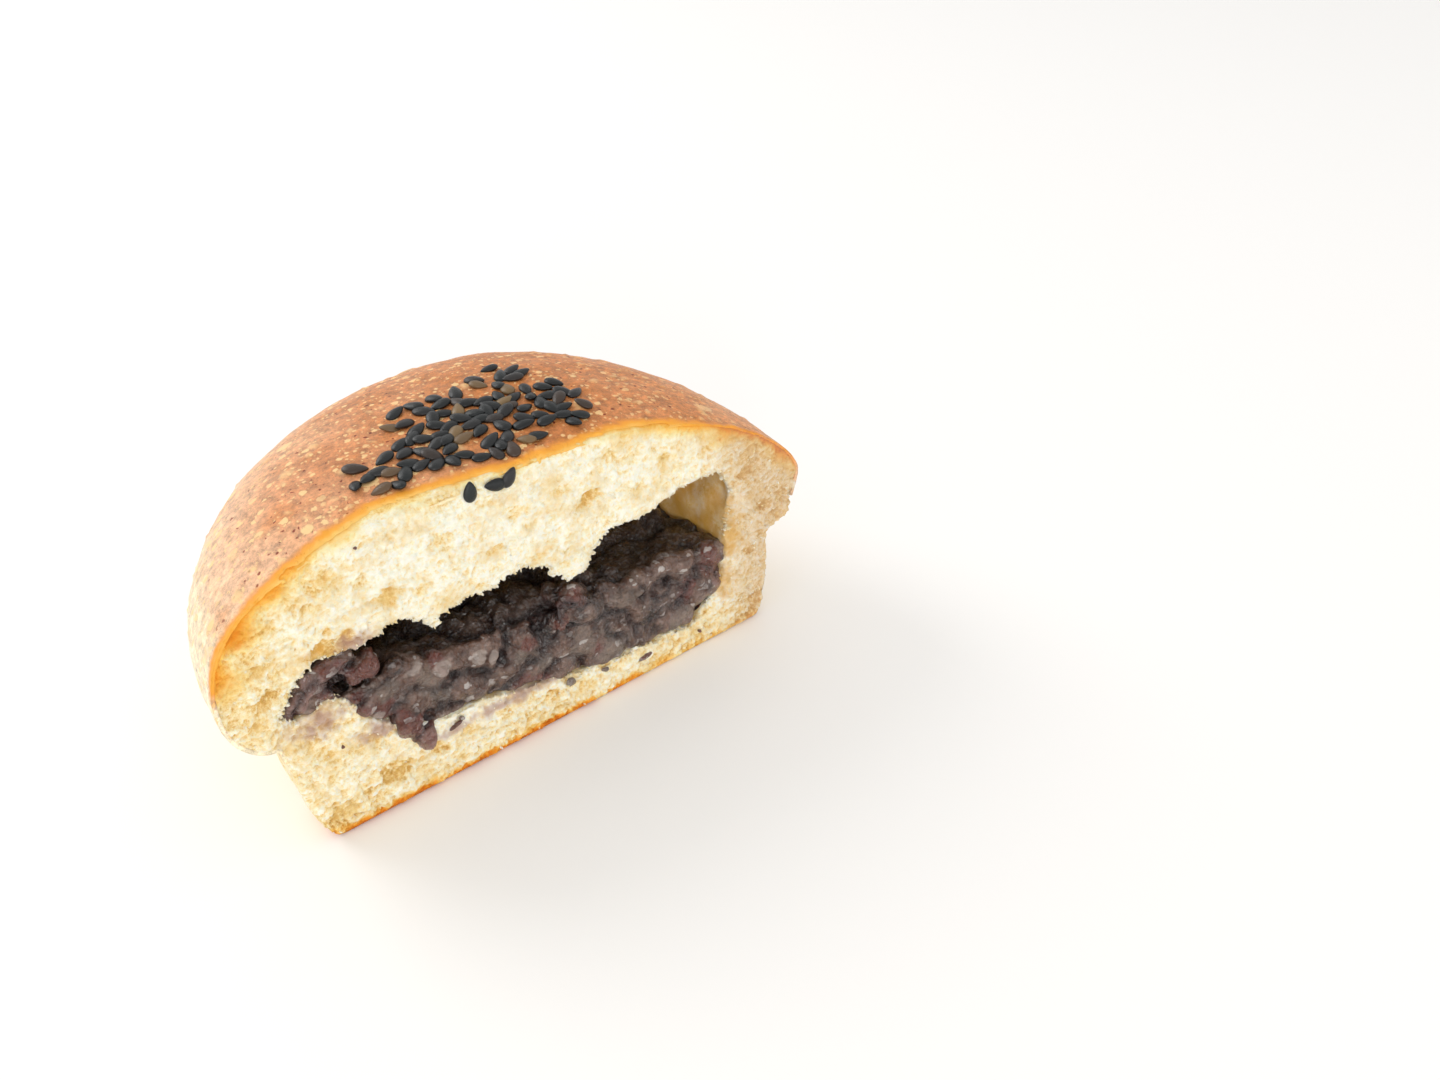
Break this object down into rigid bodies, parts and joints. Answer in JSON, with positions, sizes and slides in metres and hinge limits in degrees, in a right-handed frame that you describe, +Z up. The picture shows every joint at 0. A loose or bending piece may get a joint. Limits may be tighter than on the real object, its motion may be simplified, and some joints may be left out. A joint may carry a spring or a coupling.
{
  "type": "anpan",
  "caption": "Half of a round anpan: a soft bun, cut upright through its chunky red bean paste, with black sesame on its browned crust.",
  "frame": {"origin": "middle of the bounding box, on the flat baked base that the half stands on", "axes": "+X along the cut, towards the end where the bean paste is deepest; the cut face looks towards -Y and leans back; +Z up"},
  "size_m": [0.1004, 0.0596, 0.049],
  "materials": {
    "crumb": null,
    "paste": null
  },
  "bodies": {
    "root": {"bread": "crumb", "bean_paste": "paste"}
  },
  "joints": []
}
